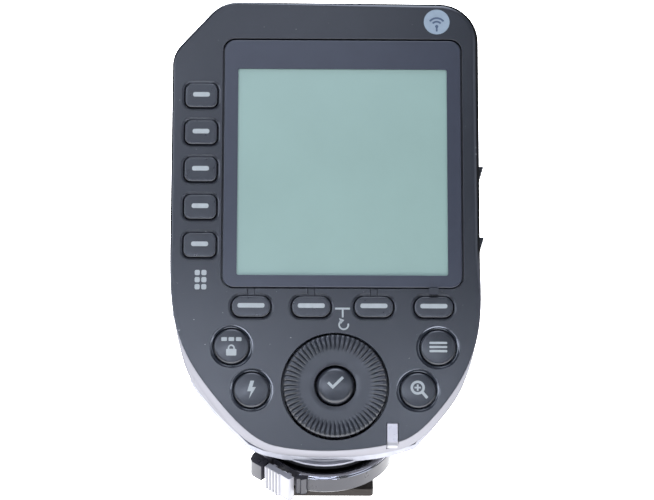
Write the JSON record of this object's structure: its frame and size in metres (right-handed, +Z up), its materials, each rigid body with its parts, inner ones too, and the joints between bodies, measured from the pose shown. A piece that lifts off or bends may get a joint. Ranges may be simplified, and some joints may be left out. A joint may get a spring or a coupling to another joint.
{
  "type": "wireless flash trigger",
  "caption": "Slab-shaped wireless flash trigger with a large screen, side and soft keys, a ridged select dial and a sliding battery door, leaning back over a lockable accessory-shoe foot.",
  "frame": {"origin": "centre of the bottom face of the shoe foot plate, on the turning axis of the lock collar", "axes": "+Z up out of the camera shoe toward the control head, -Y toward the user whom the panel faces, +Y the way the lens looks, +X to the user's right"},
  "size_m": [0.059, 0.0729, 0.0758],
  "materials": {
    "shell": "satin black moulded plastic, fine spark texture",
    "window": "clear hard-coated window with a dark printed border",
    "lcd": "grey-green liquid crystal display glass, switched off",
    "light_pipe": "translucent milky plastic",
    "keys": "black key caps, satin",
    "dial": "black ridged plastic",
    "collar": "dark grey satin collar with a polished rim",
    "release": "pale grey ridged plastic",
    "foot": "brownish black moulded plastic",
    "steel": "bright nickel-plated steel",
    "brass": "gold-plated contact",
    "board": "green solder mask on glass-fibre board",
    "lamp": "deep red transparent lamp window",
    "cell": "printed sleeve on a steel can"
  },
  "bodies": {
    "case": {"front_panel": "shell", "rear_cover": "shell", "shoe_base": "shell", "battery_tray": "shell", "screen_window": "window", "lcd_module": "lcd", "light_pipe": "light_pipe", "lcd_backlight": "light_pipe", "keypad_mat": "keys", "shoe_foot": "foot", "encoder_body": "steel", "power_switch_body": "steel", "assist_switch_body": "steel", "usb_port": "steel", "sync_jack": "steel", "battery_spring_1": "steel", "battery_spring_2": "steel", "battery_link_plate": "steel", "battery_minus_plate": "steel", "lock_pin_spring": "steel", "collar_retainer": "steel", "case_screw_1": "steel", "case_screw_2": "steel", "foot_screw_1": "steel", "foot_screw_2": "steel", "foot_screw_3": "steel", "foot_screw_4": "steel", "battery_plus_plate": "brass", "main_board": "board", "assist_lamp_window": "lamp", "assist_lamp_led": "lamp", "battery_cell_1": "cell", "battery_cell_2": "cell"},
    "group_button_1_body": {"group_button_1": "keys"},
    "group_button_2_body": {"group_button_2": "keys"},
    "group_button_3_body": {"group_button_3": "keys"},
    "group_button_4_body": {"group_button_4": "keys"},
    "group_button_5_body": {"group_button_5": "keys"},
    "function_button_1_body": {"function_button_1": "keys"},
    "function_button_2_body": {"function_button_2": "keys"},
    "function_button_3_body": {"function_button_3": "keys"},
    "function_button_4_body": {"function_button_4": "keys"},
    "mode_button_body": {"mode_button": "keys"},
    "flash_test_button_body": {"flash_test_button": "keys"},
    "menu_button_body": {"menu_button": "keys"},
    "zoom_button_body": {"zoom_button": "keys"},
    "set_button_body": {"set_button": "keys"},
    "select_dial_body": {"select_dial": "dial"},
    "power_switch_body_slider": {"power_switch_knob": "dial"},
    "assist_switch_body_slider": {"assist_switch_knob": "dial"},
    "door": {"battery_door": "shell"},
    "collar": {"lock_collar": "collar", "release_spring": "steel"},
    "release": {"release_button": "release"},
    "pin": {"lock_pin": "steel"},
    "contact_1": {"contact_pin_1": "brass"},
    "contact_2": {"contact_pin_2": "brass"},
    "contact_3": {"contact_pin_3": "brass"},
    "contact_4": {"contact_pin_4": "brass"},
    "contact_5": {"contact_pin_5": "brass"}
  },
  "joints": [
    {"name": "group_1_press", "type": "slide", "parent": "case", "child": "group_button_1_body", "axis": [0, 0.7071, -0.7071], "range_m": [0, 0.0004], "stiffness_N_per_m": 900},
    {"name": "group_2_press", "type": "slide", "parent": "case", "child": "group_button_2_body", "axis": [0, 0.7071, -0.7071], "range_m": [0, 0.0004], "stiffness_N_per_m": 900},
    {"name": "group_3_press", "type": "slide", "parent": "case", "child": "group_button_3_body", "axis": [0, 0.7071, -0.7071], "range_m": [0, 0.0004], "stiffness_N_per_m": 900},
    {"name": "group_4_press", "type": "slide", "parent": "case", "child": "group_button_4_body", "axis": [0, 0.7071, -0.7071], "range_m": [0, 0.0004], "stiffness_N_per_m": 900},
    {"name": "group_5_press", "type": "slide", "parent": "case", "child": "group_button_5_body", "axis": [0, 0.7071, -0.7071], "range_m": [0, 0.0004], "stiffness_N_per_m": 900},
    {"name": "function_1_press", "type": "slide", "parent": "case", "child": "function_button_1_body", "axis": [0, 0.7071, -0.7071], "range_m": [0, 0.0004], "stiffness_N_per_m": 900},
    {"name": "function_2_press", "type": "slide", "parent": "case", "child": "function_button_2_body", "axis": [0, 0.7071, -0.7071], "range_m": [0, 0.0004], "stiffness_N_per_m": 900},
    {"name": "function_3_press", "type": "slide", "parent": "case", "child": "function_button_3_body", "axis": [0, 0.7071, -0.7071], "range_m": [0, 0.0004], "stiffness_N_per_m": 900},
    {"name": "function_4_press", "type": "slide", "parent": "case", "child": "function_button_4_body", "axis": [0, 0.7071, -0.7071], "range_m": [0, 0.0004], "stiffness_N_per_m": 900},
    {"name": "mode_press", "type": "slide", "parent": "case", "child": "mode_button_body", "axis": [0, 0.7071, -0.7071], "range_m": [0, 0.0004], "stiffness_N_per_m": 900},
    {"name": "flash_test_press", "type": "slide", "parent": "case", "child": "flash_test_button_body", "axis": [0, 0.7071, -0.7071], "range_m": [0, 0.0004], "stiffness_N_per_m": 900},
    {"name": "menu_press", "type": "slide", "parent": "case", "child": "menu_button_body", "axis": [0, 0.7071, -0.7071], "range_m": [0, 0.0004], "stiffness_N_per_m": 900},
    {"name": "zoom_press", "type": "slide", "parent": "case", "child": "zoom_button_body", "axis": [0, 0.7071, -0.7071], "range_m": [0, 0.0004], "stiffness_N_per_m": 900},
    {"name": "set_press", "type": "slide", "parent": "case", "child": "set_button_body", "axis": [0, 0.7071, -0.7071], "range_m": [0, 0.0005], "stiffness_N_per_m": 900},
    {"name": "select_dial_turn", "type": "hinge", "parent": "case", "child": "select_dial_body", "pos_m": [0.00189, -0.00652, 0.02368], "axis": [0, -0.7071, 0.7071], "continuous": true},
    {"name": "power_switch_slide", "type": "slide", "parent": "case", "child": "power_switch_body_slider", "axis": [0, -0.7071, -0.7071], "range_m": [0, 0.003]},
    {"name": "assist_switch_slide", "type": "slide", "parent": "case", "child": "assist_switch_body_slider", "axis": [0, -0.7071, -0.7071], "range_m": [0, 0.003]},
    {"name": "battery_door_slide", "type": "slide", "parent": "case", "child": "door", "axis": [0, 0.7071, 0.7071], "range_m": [0, 0.04]},
    {"name": "collar_turn", "type": "hinge", "parent": "case", "child": "collar", "pos_m": [0, 0, 0.0059], "axis": [0, 0, 1], "range_deg": [0, 50]},
    {"name": "release_press", "type": "slide", "parent": "collar", "child": "release", "axis": [0.6794, 0.7337, 0], "range_m": [0, 0.0008], "stiffness_N_per_m": 600, "deforming": ["release_spring"]},
    {"name": "lock_pin_drop", "type": "slide", "parent": "case", "child": "pin", "axis": [0, 0, -1], "range_m": [0, 0.0016], "deforming": ["lock_pin_spring"]},
    {"name": "contact_1_press", "type": "slide", "parent": "case", "child": "contact_1", "axis": [0, 0, 1], "range_m": [0, 0.0003], "stiffness_N_per_m": 500},
    {"name": "contact_2_press", "type": "slide", "parent": "case", "child": "contact_2", "axis": [0, 0, 1], "range_m": [0, 0.0003], "stiffness_N_per_m": 500},
    {"name": "contact_3_press", "type": "slide", "parent": "case", "child": "contact_3", "axis": [0, 0, 1], "range_m": [0, 0.0003], "stiffness_N_per_m": 500},
    {"name": "contact_4_press", "type": "slide", "parent": "case", "child": "contact_4", "axis": [0, 0, 1], "range_m": [0, 0.0003], "stiffness_N_per_m": 500},
    {"name": "contact_5_press", "type": "slide", "parent": "case", "child": "contact_5", "axis": [0, 0, 1], "range_m": [0, 0.0003], "stiffness_N_per_m": 500}
  ],
  "couplings": [
    {"joint": "lock_pin_drop", "follows": "collar_turn", "m_per_rad": 0.0018}
  ]
}
